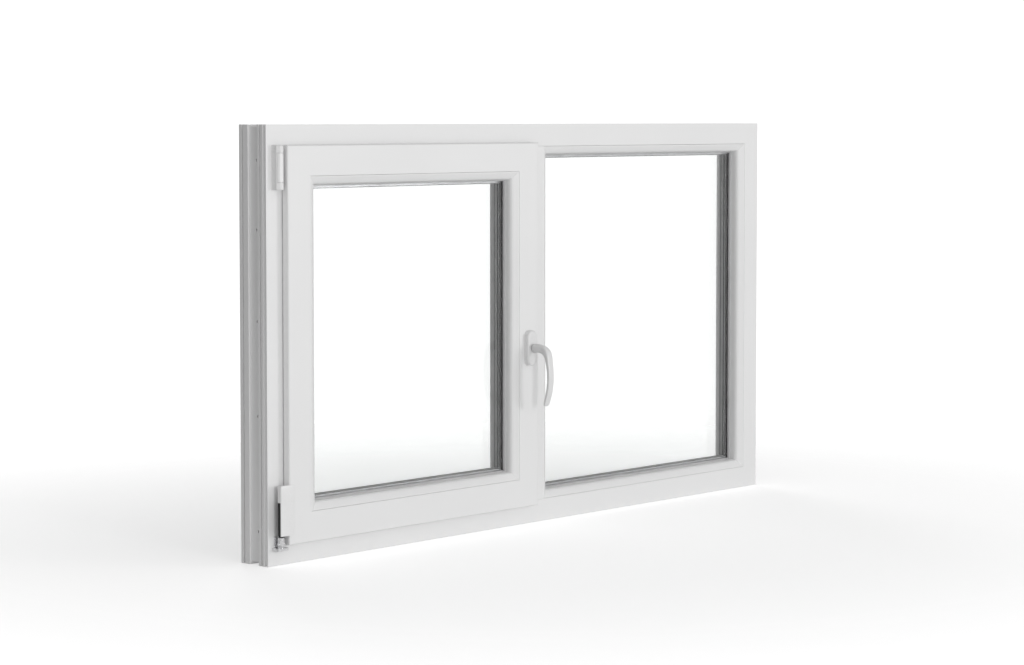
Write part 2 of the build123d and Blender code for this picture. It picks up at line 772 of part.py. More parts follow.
with BuildPart() as pinion:
    with BuildSketch(Plane(origin=(handle_x, hardware_y - rack_w / 2, handle_z), x_dir=(1, 0, 0), z_dir=(0, -1, 0))):
        Circle(pinion_r - 1.25 * module)
        with PolarLocations(0, pinion_teeth):
            Polygon(
                (pinion_r - 1.6 * module, -1.0),
                (pinion_r, -0.62),
                (pinion_r + 0.8 * module, -0.3),
                (pinion_r + 0.8 * module, 0.3),
                (pinion_r, 0.62),
                (pinion_r - 1.6 * module, 1.0),
                align=None,
            )
        Rectangle(spindle_side + 2 * running, spindle_side + 2 * running, mode=Mode.SUBTRACT)
    extrude(amount=-rack_w)
save(pinion.part, "handle_pinion")

case_in = sash_right - gear_high + 0.5
case_hollow = rack_w / 2 + 1.0
spindle_hole_r = 4.6
with BuildPart() as gear_case:
    low = (case_in, hardware_y - case_d / 2, handle_z - case_half)
    high = (sash_right - flange - 0.1, hardware_y + case_d / 2, handle_z + case_half)
    add(block(low, high))
    cavity_r = pinion_r + 1.6
    hollow_foot = (handle_x, hardware_y - case_hollow, handle_z)
    add(rod_along(hollow_foot, (0, 1, 0), cavity_r, 2 * case_hollow), mode=Mode.SUBTRACT)
    low = (handle_x + pinion_r - 1.6, hardware_y - case_hollow, handle_z - case_half - 1)
    high = (sash_right - flange + 1, hardware_y + case_hollow, handle_z + case_half + 1)
    add(block(low, high), mode=Mode.SUBTRACT)
    spindle_foot = (handle_x, hardware_y - case_d, handle_z)
    add(rod_along(spindle_foot, (0, 1, 0), spindle_hole_r, 2 * case_d), mode=Mode.SUBTRACT)
    for step in (-screw_spacing / 2, screw_spacing / 2):
        start = (handle_x, hardware_y - case_d, handle_z + step)
        add(rod_along(start, (0, 1, 0), screw_r, 2 * case_d), mode=Mode.SUBTRACT)
save(gear_case.part, "lock_gearbox")

keep_half = plate_w / 2
with BuildPart() as keeps:
    for z in side_cams:
        low = (-half_mullion - keep_t, hardware_y - keep_half, z - stroke - keep_margin)
        add(block(low, (-half_mullion, hardware_y + keep_half, z + keep_margin)))
    low = (top_cam_x - keep_margin, hardware_y - keep_half, frame_h - frame_face - keep_t)
    high = (top_cam_x + stroke + keep_margin, hardware_y + keep_half, frame_h - frame_face)
    add(block(low, high))
save(keeps.part, "lock_keeps")

# ---------------------------------------------------------------------- handle

rosette_y = sash_y - rosette_t
with BuildPart() as rosette:
    with BuildSketch(Plane(origin=(handle_x, sash_y, handle_z), x_dir=(1, 0, 0), z_dir=(0, -1, 0))):
        SlotOverall(rosette_h, rosette_w, rotation=90)
    extrude(amount=rosette_t)
    fillet(rosette.faces().sort_by(Axis.Y)[0].edges(), 3.0)
    add(rod_along((handle_x, sash_y + 1, handle_z), (0, -1, 0), neck_r + running, 20), mode=Mode.SUBTRACT)
    for step in (-screw_spacing / 2, screw_spacing / 2):
        start = (handle_x, sash_y + 1, handle_z + step)
        add(rod_along(start, (0, -1, 0), screw_r + running, 7.0), mode=Mode.SUBTRACT)
save(rosette.part, "handle_rosette")

with BuildPart() as handle_screws:
    for step in (-screw_spacing / 2, screw_spacing / 2):
        start = (handle_x, sash_y - 5.5, handle_z + step)
        add(rod_along(start, (0, 1, 0), screw_r, 34.0))
save(handle_screws.part, "handle_screws")

lever_outer = [(30, 9.5), (41, 4), (50, -9), (57, -30), (59.5, -56), (56.5, -82), (47, -108)]
lever_inner = [(41, -111), (49, -86), (52, -60), (50, -36), (43, -18), (30, -9.5)]
with BuildPart() as lever:
    plane = Plane(origin=(handle_x - lever_w / 2, sash_y, handle_z), x_dir=(0, -1, 0), z_dir=(-1, 0, 0))
    with BuildSketch(plane):
        with BuildLine():
            Spline(*[(d, z) for d, z in lever_outer])
            Line(lever_outer[-1], lever_inner[0])
            Spline(*[(d, z) for d, z in lever_inner])
            Line(lever_inner[-1], lever_outer[0])
        make_face()
    extrude(amount=-lever_w)
    add(rod_along((handle_x, sash_y - 0.6, handle_z), (0, -1, 0), neck_r, 33.0))
    hole = spindle_side / 2 + running
    low = (handle_x - hole, sash_y - 28, handle_z - hole)
    add(block(low, (handle_x + hole, sash_y, handle_z + hole)), mode=Mode.SUBTRACT)
save(lever.part, "handle_lever")

half = spindle_side / 2
with BuildPart() as spindle:
    low = (handle_x - half, sash_y - 27.8, handle_z - half)
    add(block(low, (handle_x + half, hardware_y + 6, handle_z + half)))
save(spindle.part, "handle_spindle")

# --------------------------------------------------------------- drainage caps

with BuildPart() as drainage_caps:
    for x in (-half_w + cap_from_left, cap_from_mullion, half_w - cap_from_right):
        with BuildSketch(Plane(origin=(x, out_y, cap_up), x_dir=(1, 0, 0), z_dir=(0, 1, 0))):
            RectangleRounded(cap_w, cap_h, 2.0)
        extrude(amount=cap_t)
save(drainage_caps.part, "drainage_caps")
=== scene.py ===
"""Finishes and details for a white plastic window: a tilt and turn sash beside a fixed light.

Metres. X runs along the width, +Y towards the outdoors, +Z up. The room is on the -Y side.
"""

import json
from math import copysign, cos, pi, radians, sin

import bmesh
import bpy
from bpy.props import FloatProperty, FloatVectorProperty, IntProperty, PointerProperty
from mathutils import Matrix, Vector


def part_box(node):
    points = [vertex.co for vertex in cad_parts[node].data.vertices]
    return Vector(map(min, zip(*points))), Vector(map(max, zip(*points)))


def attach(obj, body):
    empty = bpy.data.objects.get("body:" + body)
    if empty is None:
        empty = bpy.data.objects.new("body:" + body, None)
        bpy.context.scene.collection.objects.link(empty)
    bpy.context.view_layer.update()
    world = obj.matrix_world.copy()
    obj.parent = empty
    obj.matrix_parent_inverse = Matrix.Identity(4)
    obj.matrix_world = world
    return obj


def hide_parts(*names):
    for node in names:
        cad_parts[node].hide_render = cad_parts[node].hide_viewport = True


bl_info = {
    "name": "Plastic window finishes",
    "version": (1, 0, 0),
    "blender": (4, 5, 0),
    "location": "View3D > Sidebar > Window",
    "description": "Finishes and details for a tilt and turn window with a fixed light",
    "category": "Object",
}

MM = 0.001
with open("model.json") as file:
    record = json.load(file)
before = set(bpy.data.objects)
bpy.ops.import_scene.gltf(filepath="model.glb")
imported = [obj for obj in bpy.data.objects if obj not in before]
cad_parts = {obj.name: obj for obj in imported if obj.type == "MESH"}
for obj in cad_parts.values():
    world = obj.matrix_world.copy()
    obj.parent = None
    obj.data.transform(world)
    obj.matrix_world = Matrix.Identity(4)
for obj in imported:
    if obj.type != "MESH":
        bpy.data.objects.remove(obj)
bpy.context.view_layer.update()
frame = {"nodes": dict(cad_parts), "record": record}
NODES = frame["nodes"]
BEHAVIOUR = frame["record"]["behaviour"]
JOINTS = {joint["name"]: joint for joint in BEHAVIOUR["joints"]}
NODE_BODY = {node: body for body, nodes in BEHAVIOUR["bodies"].items() for node in nodes}

BARS_UP = (
    "frame_jamb_hinge_side",
    "frame_jamb_fixed_side",
    "sash_hinge_stile",
    "sash_lock_stile",
    "mullion",
)
BARS_ACROSS = ("frame_head", "frame_sill", "sash_top_rail", "sash_bottom_rail")
BEADS_UP = ("fixed_bead_left", "fixed_bead_right", "sash_bead_left", "sash_bead_right")
BEADS_ACROSS = ("fixed_bead_top", "fixed_bead_bottom", "sash_bead_top", "sash_bead_bottom")
REINFORCEMENT = ("frame_reinforcement", "mullion_reinforcement", "sash_reinforcement")
LIGHTS = {"fixed": "frame", "sash": "sash"}


# ------------------------------------------------------------------ properties


class WindowColours(bpy.types.PropertyGroup):
    """Colours of the window's finishes."""

    profile: FloatVectorProperty(
        name="Profile white", description="Colour of the plastic bars and beads",
        subtype="COLOR", default=(0.80, 0.80, 0.80), min=0.0, max=1.0)
    coated: FloatVectorProperty(
        name="Coated white", description="Colour of the powder coated handle and hinge",
        subtype="COLOR", default=(0.74, 0.74, 0.74), min=0.0, max=1.0)
    cover: FloatVectorProperty(
        name="Cover white", description="Colour of the moulded covers",
        subtype="COLOR", default=(0.80, 0.80, 0.80), min=0.0, max=1.0)
    gasket: FloatVectorProperty(
        name="Gasket grey", description="Colour of the rubber gaskets",
        subtype="COLOR", default=(0.50, 0.50, 0.505), min=0.0, max=1.0)
    metal: FloatVectorProperty(
        name="Silver plate", description="Colour of the plated lock gear",
        subtype="COLOR", default=(0.80, 0.80, 0.81), min=0.0, max=1.0)


class WindowSizes(bpy.types.PropertyGroup):
    """Sizes of the window's small details."""

    weld_groove: FloatProperty(
        name="Weld groove", description="Width of the groove along each mitred corner",
        subtype="DISTANCE", unit="LENGTH", default=0.35 * MM, min=0.0)
    spacer_groove: FloatProperty(
        name="Spacer groove", description="Width of the dark groove along the spacer",
        subtype="DISTANCE", unit="LENGTH", default=2.0 * MM, min=0.0)
    lever_width: FloatProperty(
        name="Lever width", description="Width of the handle's lever",
        subtype="DISTANCE", unit="LENGTH", default=14.8 * MM, min=0.0)
    lever_depth: FloatProperty(
        name="Lever depth", description="Depth of the handle's lever from front to back",
        subtype="DISTANCE", unit="LENGTH", default=7.0 * MM, min=0.0)
    round_steps: IntProperty(
        name="Round steps", description="Steps round a small rounded shape",
        default=32, min=8, max=96)


# -------------------------------------------------------------------- materials

# How noise is stretched: not at all, or into lines along an upright or a level bar.
ALL_WAYS = (1.0, 1.0, 1.0)
UP = (1.0, 1.0, 0.004)
ACROSS = (0.004, 1.0, 1.0)

# Nearly all noise lies between these values.
NOISE_LOW = 0.3
NOISE_HIGH = 0.7

FINISHES = {}


def start_finish(name):
    """An empty node material: its material, node tree and shader."""
    material = bpy.data.materials.new(name)
    material.use_nodes = True
    tree = material.node_tree
    tree.nodes.clear()
    output = tree.nodes.new("ShaderNodeOutputMaterial")
    shader = tree.nodes.new("ShaderNodeBsdfPrincipled")
    tree.links.new(shader.outputs["BSDF"], output.inputs["Surface"])
    return material, tree, shader


def add_noise(tree, scale, detail, stretch=ALL_WAYS):
    """Noise over the piece's own coordinates, stretched per axis."""
    place = tree.nodes.new("ShaderNodeTexCoord")
    mapping = tree.nodes.new("ShaderNodeMapping")
    mapping.inputs["Scale"].default_value = stretch
    noise = tree.nodes.new("ShaderNodeTexNoise")
    noise.inputs["Scale"].default_value = scale
    noise.inputs["Detail"].default_value = detail
    tree.links.new(place.outputs["Object"], mapping.inputs["Vector"])
    tree.links.new(mapping.outputs["Vector"], noise.inputs["Vector"])
    return noise.outputs["Fac"]


def add_range(tree, value, from_min, from_max, to_min, to_max):
    """A value mapped from one range to another: its node."""
    ranged = tree.nodes.new("ShaderNodeMapRange")
    ranged.inputs["From Min"].default_value = from_min
    ranged.inputs["From Max"].default_value = from_max
    ranged.inputs["To Min"].default_value = to_min
    ranged.inputs["To Max"].default_value = to_max
    tree.links.new(value, ranged.inputs["Value"])
    return ranged


def drift_colour(tree, shader, colour, spread, scale, detail):
    """Let the colour drift a little around its own value with noise, and give that noise."""
    noise = add_noise(tree, scale, detail)
    ramp = tree.nodes.new("ShaderNodeValToRGB")
    ramp.color_ramp.elements[0].position = NOISE_LOW
    ramp.color_ramp.elements[1].position = NOISE_HIGH
    for element, factor in zip(ramp.color_ramp.elements, (1.0 - spread, 1.0 + spread)):
        element.color = (*[min(1.0, part * factor) for part in colour], 1.0)
    tree.links.new(noise, ramp.inputs["Fac"])
    tree.links.new(ramp.outputs["Color"], shader.inputs["Base Color"])
    return noise


def vary_gloss(tree, shader, rough, scale, detail, stretch=ALL_WAYS):
    """Let the roughness vary between two values with noise, and give that noise."""
    noise = add_noise(tree, scale, detail, stretch)
    ranged = add_range(tree, noise, NOISE_LOW, NOISE_HIGH, *rough)
    tree.links.new(ranged.outputs["Result"], shader.inputs["Roughness"])
    return noise


def add_bump(tree, shader, height, distance, under=None):
    """Bump from a height, over an earlier bump where there is one."""
    bump = tree.nodes.new("ShaderNodeBump")
    bump.inputs["Strength"].default_value = 1.0
    bump.inputs["Distance"].default_value = distance
    tree.links.new(height, bump.inputs["Height"])
    if under is not None:
        tree.links.new(under, bump.inputs["Normal"])
    tree.links.new(bump.outputs["Normal"], shader.inputs["Normal"])
    return bump.outputs["Normal"]


def plastic_finish(name, colour, stretch):
    """Extruded white plastic: satin, with faint draw lines along the bar and a slow waviness."""
    material, tree, shader = start_finish(name)
    drift_colour(tree, shader, colour, spread=0.012, scale=3.0, detail=3.0)
    lines = vary_gloss(tree, shader, (0.44, 0.54), scale=420.0, detail=3.0, stretch=stretch)
    wave = add_noise(tree, scale=14.0, detail=1.0, stretch=stretch)
    under = add_bump(tree, shader, wave, distance=0.12 * MM)
    add_bump(tree, shader, lines, distance=0.006 * MM, under=under)
    shader.inputs["Specular IOR Level"].default_value = 0.4
    shader.inputs["IOR"].default_value = 1.52
    return material


def moulded_finish(name, colour):
    """Moulded white plastic: smooth, a little glossier than the bars."""
    material, tree, shader = start_finish(name)
    drift_colour(tree, shader, colour, spread=0.01, scale=40.0, detail=2.0)
    fine = vary_gloss(tree, shader, (0.24, 0.34), scale=1800.0, detail=2.0)
    add_bump(tree, shader, fine, distance=0.008 * MM)
    shader.inputs["IOR"].default_value = 1.5
    return material


def powder_finish(name, colour):
    """White powder coat: fine orange peel over metal."""
    material, tree, shader = start_finish(name)
    drift_colour(tree, shader, colour, spread=0.012, scale=60.0, detail=2.0)
    peel = vary_gloss(tree, shader, (0.28, 0.38), scale=700.0, detail=2.0)
    grit = add_noise(tree, scale=2600.0, detail=1.0)
    under = add_bump(tree, shader, peel, distance=0.03 * MM)
    add_bump(tree, shader, grit, distance=0.006 * MM, under=under)
    shader.inputs["Coat Weight"].default_value = 0.1
    shader.inputs["Coat Roughness"].default_value = 0.25
    return material


def rubber_finish(name, colour):
    """Extruded rubber: matt, slightly dusty, with fine lines."""
    material, tree, shader = start_finish(name)
    drift_colour(tree, shader, colour, spread=0.10, scale=30.0, detail=4.0)
    fine = vary_gloss(tree, shader, (0.55, 0.75), scale=1500.0, detail=3.0)
    add_bump(tree, shader, fine, distance=0.02 * MM)
    shader.inputs["Sheen Weight"].default_value = 0.08
    return material


def metal_finish(name, colour, rough, grain, stretch=ALL_WAYS):
    """Plated or drawn metal: a soft grain, drawn out along a bar, and a cloudy plating."""
    material, tree, shader = start_finish(name)
    drift_colour(tree, shader, colour, spread=0.06, scale=55.0, detail=4.0)
    lines = vary_gloss(tree, shader, rough, scale=grain, detail=4.0, stretch=stretch)
    add_bump(tree, shader, lines, distance=0.012 * MM)
    shader.inputs["Metallic"].default_value = 1.0
    return material


def glass_finish(name, colour):
    """Clear float glass with the slightest unevenness."""
    material, tree, shader = start_finish(name)
    drift = drift_colour(tree, shader, colour, spread=0.004, scale=1.6, detail=1.0)
    add_bump(tree, shader, drift, distance=0.02 * MM)
    shader.inputs["Transmission Weight"].default_value = 1.0
    shader.inputs["Roughness"].default_value = 0.0
    shader.inputs["IOR"].default_value = 1.5
    shader.inputs["Specular IOR Level"].default_value = 0.1
    return material


def block_finish(name, colour):
    """Coloured setting blocks: matt moulded plastic with a pebbled face."""
    material, tree, shader = start_finish(name)
    drift_colour(tree, shader, colour, spread=0.08, scale=80.0, detail=3.0)
    pebble = vary_gloss(tree, shader, (0.5, 0.65), scale=600.0, detail=2.0)
    add_bump(tree, shader, pebble, distance=0.06 * MM)
    return material


def finish_makers():
    """How each finish is made, by the name that the pieces use."""
    colours = bpy.context.scene.window_colours
    white = tuple(colours.profile)
    plate = tuple(colours.metal)
    steel = (0.52, 0.53, 0.55)
    bright = (0.58, 0.58, 0.59)
    return {
        "profile_up": lambda: plastic_finish("white_profile_upright", white, UP),
        "profile_across": lambda: plastic_finish("white_profile_level", white, ACROSS),
        "cover": lambda: moulded_finish("white_cover", tuple(colours.cover)),
        "coated": lambda: powder_finish("white_powder_coat", tuple(colours.coated)),
        "gasket": lambda: rubber_finish("grey_gasket", tuple(colours.gasket)),
        "edge_seal": lambda: rubber_finish("dark_sealant", (0.02, 0.02, 0.022)),
        "spacer": lambda: metal_finish("spacer_metal", bright, (0.3, 0.45), grain=300.0),
        "spacer_face": lambda: rubber_finish("spacer_grey_face", (0.48, 0.48, 0.485)),
        "groove": lambda: rubber_finish("spacer_groove_dark", (0.006, 0.006, 0.007)),
        # Painted shade: the spacer's shoulders darkened for the shadow beside the panes.
        "shoulder": lambda: rubber_finish("spacer_shoulder_painted_shade", (0.05, 0.05, 0.051)),
        # Black for a sleeve on the corner pin, and painted shade in the corner cover's opening.
        "bush_and_shade": lambda: rubber_finish("black_bush_and_painted_shade", (0.012, 0.012, 0.013)),
        "glass": lambda: glass_finish("clear_glass", (0.985, 0.992, 0.989)),
        "block": lambda: block_finish("setting_block_plastic", (0.05, 0.12, 0.28)),
        "steel": lambda: metal_finish("zinc_plated_steel", steel, (0.34, 0.5), grain=240.0),
        "zinc": lambda: metal_finish("silver_plated_zinc", plate, (0.2, 0.34), grain=500.0),
        "rod": lambda: metal_finish("silver_plated_rod", plate, (0.2, 0.34), 900.0, UP),
    }


def finish(name):
    """One of the window's materials, made the first time it is asked for."""
    if name not in FINISHES:
        FINISHES[name] = finish_makers()[name]()
    return FINISHES[name]


def paint_nodes(nodes, name):
    """Give CAD nodes one finish."""
    for node in nodes:
        for held in NODES[node].material_slots:
            held.material = finish(name)


# ---------------------------------------------------------------------- shaping


def soften(node, width):
    """Round a CAD node's sharp edges by a hair, so that they catch light and show each joint."""
    obj = NODES[node]
    weld = obj.modifiers.new("join_corners", "WELD")
    weld.merge_threshold = 0.002 * MM
    bevel = obj.modifiers.new("soft_edges", "BEVEL")
    bevel.width = width
    bevel.segments = 2
    bevel.limit_method = "ANGLE"
    bevel.angle_limit = radians(40)
    bevel.use_clamp_overlap = True
    bevel.harden_normals = False
    normals = obj.modifiers.new("flat_faces", "WEIGHTED_NORMAL")
    normals.keep_sharp = True


def finished_mesh(name, bm, sharp_degrees):
    """A mesh with its normals facing out, smooth but for edges sharper than an angle."""
    bmesh.ops.recalc_face_normals(bm, faces=bm.faces)
    mesh = bpy.data.meshes.new(name)
    bm.to_mesh(mesh)
    bm.free()
    mesh.polygons.foreach_set("use_smooth", [True] * len(mesh.polygons))
    mesh.set_sharp_from_angle(angle=radians(sharp_degrees))
    return mesh


def make_piece(name, mesh, body, finishes, replaced):
    """Put a mesh in the scene: on its body, with its finishes and the CAD node it stands for."""
    obj = bpy.data.objects.new(name, mesh)
    bpy.context.scene.collection.objects.link(obj)
    for each in finishes:
        mesh.materials.append(finish(each))
    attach(obj, body)
    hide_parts(replaced)
    return obj


def loop_rings(bm, rings, closed):
    """Join rings of equally many vertices into a skin, closed into a loop or with end faces."""
    pairs = list(zip(rings, rings[1:]))
    if closed:
        pairs.append((rings[-1], rings[0]))
    faces = []
    for first, second in pairs:
        count = len(first)
        for index in range(count):
            after = (index + 1) % count
            corners = (first[index], first[after], second[after], second[index])
            faces.append(bm.faces.new(corners))
    if not closed:
        faces += [bm.faces.new(rings[0]), bm.faces.new(rings[-1])]
    return faces


def frame_of_section(bm, low, high, section):
    """Sweep a closed section (inwards, outdoors) round a box's rectangle in the wall's plane."""
    corners = (
        (low.x, low.z, 1, 1),
        (high.x, low.z, -1, 1),
        (high.x, high.z, -1, -1),
        (low.x, high.z, 1, -1),
    )
    rings = []
    for x, z, way_x, way_z in corners:
        ring = [bm.verts.new((x + way_x * u, low.y + t, z + way_z * u)) for u, t in section]
        rings.append(ring)
    return loop_rings(bm, rings, closed=True)


def upright(bm, section, z_low, z_high, soft=0.0):
    """A closed upright bar of one section, its top and bottom edges softened where asked."""
    middle = sum((Vector(point) for point in section), Vector((0.0, 0.0))) / len(section)
    levels = [(z_low, 0.0), (z_high, 0.0)]
    if soft:
        levels = [(z_low, soft), (z_low + soft, 0.0), (z_high - soft, 0.0), (z_high, soft)]
    rings = []
    for z, inset in levels:
        ring = []
        for x, y in section:
            out = Vector((x, y)) - middle
            at = middle + out * max(0.0, 1.0 - inset / out.length)
            ring.append(bm.verts.new((at.x, at.y, z)))
        rings.append(ring)
    return loop_rings(bm, rings, closed=False)


def arc(centre, radius, start, end, steps):
    """Points of an arc in a section, in degrees."""
    u, t = centre
    angles = [radians(start + (end - start) * step / steps) for step in range(steps + 1)]
    return [(u + radius * cos(angle), t + radius * sin(angle)) for angle in angles]


def circle(centre, radius, steps):
    """Points round a circle in a section."""
    return arc(centre, radius, 0, 360 - 360 / steps, steps - 1)


def rectangle(x_low, x_high, y_low, y_high):
    """Corners of a rectangle in a section."""
    return [(x_low, y_low), (x_high, y_low), (x_high, y_high), (x_low, y_high)]


# ------------------------------------------------------------------------ stage


class WINDOW_OT_stage(bpy.types.Operator):
    """Pale floor, soft studio light and the camera"""

    bl_idname = "window.stage"
    bl_label = "Stage"

    def execute(self, context):
        scene = context.scene
        scene.view_settings.view_transform = "Standard"
        make_floor()
        make_world(scene)
        make_lamps()
        make_camera(scene)
        return {"FINISHED"}


def make_floor():
    """A wide pale floor, a hair below the sill."""
    mesh = bpy.data.meshes.new("floor")
    bm = bmesh.new()
    bmesh.ops.create_circle(bm, cap_ends=True, segments=96, radius=4.0)
    bm.to_mesh(mesh)
    bm.free()
    mesh.materials.append(floor_finish())
    floor = bpy.data.objects.new("floor", mesh)
    floor.location = (0.0, 0.0, -0.5 * MM)
    bpy.context.scene.collection.objects.link(floor)


def floor_finish():
    """Matt pale floor with a faint glow, fading into the backdrop away from the window."""
    glow = 0.12
    seen_glow = 0.35
    fade_from = 0.6
    fade_to = 2.2
    material, tree, shader = start_finish("pale_floor")
    drift_colour(tree, shader, (0.85, 0.85, 0.85), spread=0.005, scale=1.5, detail=3.0)
    shader.inputs["Roughness"].default_value = 0.9
    shader.inputs["Specular IOR Level"].default_value = 0.1
    shader.inputs["Emission Color"].default_value = (1.0, 1.0, 1.0, 1.0)
    lift = tree.nodes.new("ShaderNodeMath")
    lift.operation = "MULTIPLY_ADD"
    lift.inputs[1].default_value = seen_glow
    lift.inputs[2].default_value = glow
    tree.links.new(straight_rays(tree), lift.inputs[0])
    tree.links.new(lift.outputs["Value"], shader.inputs["Emission Strength"])
    place = tree.nodes.new("ShaderNodeTexCoord")
    reach = tree.nodes.new("ShaderNodeVectorMath")
    reach.operation = "LENGTH"
    tree.links.new(place.outputs["Object"], reach.inputs[0])
    fade = add_range(tree, reach.outputs["Value"], fade_from, fade_to, 1.0, 0.0)
    fade.interpolation_type = "SMOOTHSTEP"
    tree.links.new(fade.outputs["Result"], shader.inputs["Alpha"])
    return material


def straight_rays(tree):
    """One for light that reaches the eye directly or through glass, else nought."""
    rays = tree.nodes.new("ShaderNodeLightPath")
    seen = tree.nodes.new("ShaderNodeMath")
    seen.operation = "MAXIMUM"
    tree.links.new(rays.outputs["Is Camera Ray"], seen.inputs[0])
    tree.links.new(rays.outputs["Is Transmission Ray"], seen.inputs[1])
    direct = tree.nodes.new("ShaderNodeMath")
    direct.operation = "LESS_THAN"
    direct.inputs[1].default_value = 0.5
    tree.links.new(rays.outputs["Diffuse Depth"], direct.inputs[0])
    both = tree.nodes.new("ShaderNodeMath")
    both.operation = "MULTIPLY"
    tree.links.new(seen.outputs["Value"], both.inputs[0])
    tree.links.new(direct.outputs["Value"], both.inputs[1])
    return both.outputs["Value"]


def make_world(scene):
    """Even studio light from the room, dim from outdoors, in front of a white backdrop."""
    backdrop_strength = 1.12
    room_light = 0.70
    outdoor_light = 0.10
    room_edge = -0.5
    outdoor_edge = 0.3
    world = bpy.data.worlds.new("studio")
    world.use_nodes = True
    tree = world.node_tree
    tree.nodes.clear()
    output = tree.nodes.new("ShaderNodeOutputWorld")
    backdrop = tree.nodes.new("ShaderNodeBackground")
    backdrop.inputs["Color"].default_value = (1.0, 1.0, 1.0, 1.0)
    backdrop.inputs["Strength"].default_value = backdrop_strength
    light = tree.nodes.new("ShaderNodeBackground")
    light.inputs["Strength"].default_value = 1.0
    place = tree.nodes.new("ShaderNodeTexCoord")
    split = tree.nodes.new("ShaderNodeSeparateXYZ")
    tree.links.new(place.outputs["Generated"], split.inputs["Vector"])
    ramp = add_range(
        tree, split.outputs["Y"], room_edge, outdoor_edge, room_light, outdoor_light)
    tree.links.new(ramp.outputs["Result"], light.inputs["Color"])
    mix = tree.nodes.new("ShaderNodeMixShader")
    tree.links.new(straight_rays(tree), mix.inputs["Fac"])
    tree.links.new(light.outputs["Background"], mix.inputs[1])
    tree.links.new(backdrop.outputs["Background"], mix.inputs[2])
    tree.links.new(mix.outputs["Shader"], output.inputs["Surface"])
    scene.world = world


def make_lamps():
    """Upright soft boxes: two in the room either side of the handle, one beside, one outdoors."""
    handle = Vector(JOINTS["handle_turn"]["pos_m"])
    distance = 3.6
    # Name, degrees round from the room, rise, watts, width and height.
    lamps = (
        ("softbox_right", 26.0, 0.40, 20.0, 0.5, 0.7),
        ("softbox_left", -19.0, 0.40, 19.5, 0.42, 0.7),
        ("softbox_side", -66.0, 0.30, 6.0, 0.9, 1.4),
        ("softbox_back", 150.0, 0.80, 36.0, 1.6, 1.2),
    )
    for name, degrees, rise, watts, width, height in lamps:
        lamp = bpy.data.lights.new(name, "AREA")
        lamp.shape = "RECTANGLE"
        lamp.size = width
        lamp.size_y = height
        lamp.energy = watts
        obj = bpy.data.objects.new(name, lamp)
        turn = radians(degrees)
        away = Vector((sin(turn), -cos(turn), 0.0))
        obj.location = handle + away * distance + Vector((0.0, 0.0, rise))
        obj.rotation_euler = (handle - obj.location).to_track_quat("-Z", "Y").to_euler()
        bpy.context.scene.collection.objects.link(obj)


def make_camera(scene):
    """The camera, to the hinge side and level with the top of the window."""
    place = (-3.694, -3.364, 0.776)
    yaw = radians(46.5872)
    pitch = radians(3.2449)
    roll = radians(-0.0577)
    forward = Vector((sin(yaw) * cos(pitch), cos(yaw) * cos(pitch), -sin(pitch)))
    right = Vector((cos(yaw), -sin(yaw), 0.0))
    up = right.cross(forward)
    turned_right = right * cos(roll) + up * sin(roll)
    turned_up = up * cos(roll) - right * sin(roll)
    data = bpy.data.cameras.new("camera")
    data.sensor_width = 36.0
    data.lens = 90.63
    data.shift_x = 0.0436
    data.shift_y = -0.0641
    camera = bpy.data.objects.new("camera", data)
    matrix = Matrix((turned_right, turned_up, -forward)).transposed().to_4x4()
    matrix.translation = place
    camera.matrix_world = matrix
    scene.collection.objects.link(camera)
    scene.camera = camera


# ------------------------------------------------------- frame, sash and glazing


class WINDOW_OT_profiles(bpy.types.Operator):
    """Plastic bars and beads"""

    bl_idname = "window.profiles"
    bl_label = "Bars and beads"

    def execute(self, context):
        groove = context.scene.window_sizes.weld_groove
        paint_nodes(BARS_UP + BEADS_UP, "profile_up")
        paint_nodes(BARS_ACROSS + BEADS_ACROSS, "profile_across")
        for node in BARS_UP + BARS_ACROSS + BEADS_UP + BEADS_ACROSS:
            soften(node, groove)
        return {"FINISHED"}


class WINDOW_OT_glazing(bpy.types.Operator):
    """Panes, spacers, seals and blocks"""

    bl_idname = "window.glazing"
    bl_label = "Glazing"

    def execute(self, context):
        for light, body in LIGHTS.items():
            paint_nodes((f"{light}_pane_inside", f"{light}_pane_outside"), "glass")
            paint_nodes((f"{light}_edge_seal",), "edge_seal")
            paint_nodes((f"{light}_setting_blocks",), "block")
            paint_nodes((f"{light}_glazing_gaskets",), "gasket")
            make_spacer(light, body, context.scene.window_sizes.spacer_groove)
        return {"FINISHED"}


def make_spacer(light, body, groove):
    """The spacer: bright sides, a grey face with a dark groove, and shoulders by the panes
    darkened with painted shade.
    """
    low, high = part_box(f"{light}_spacer")
    depth = high.y - low.y
    edge = 0.05 * MM
    top = 7.5 * MM - edge
    sunk = top - 0.8 * MM
    side = top - 1.4 * MM
    rim = 0.5 * MM
    shoulder = 2.2 * MM
    slope = 0.3 * MM
    groove_at = 6.0 * MM
    groove_low = groove_at - groove / 2
    groove_high = groove_at + groove / 2
    near = [(edge, edge), (side, edge), (sunk, rim), (sunk, shoulder), (top, shoulder + slope)]
    channel = [(top, groove_low), (sunk, groove_low), (sunk, groove_high), (top, groove_high)]
    far = [(u, depth - t) for u, t in reversed(near)]
    section = near + channel + far
    # The finish of each side of the section, as a place in the list of finishes. The shoulders by
    # the panes take painted shade.
    finishes = ("spacer", "spacer_face", "shoulder", "groove")
    kinds = (0, 2, 2, 1, 1, 3, 3, 3, 1, 1, 2, 2, 0, 0)
    bm = bmesh.new()
    for number, face in enumerate(frame_of_section(bm, low, high, section)):
        face.material_index = kinds[number % len(section)]
    mesh = finished_mesh(f"{light}_spacer_bar", bm, 35)
    make_piece(f"{light}_spacer_bar", mesh, body, finishes, f"{light}_spacer")


class WINDOW_OT_seals(bpy.types.Operator):
    """Weather gaskets between frame and sash"""

    bl_idname = "window.seals"
    bl_label = "Weather gaskets"

    def execute(self, context):
        paint_nodes(("frame_gasket", "sash_overlap_gasket"), "gasket")
        return {"FINISHED"}


# ----------------------------------------------------------------------- hinges


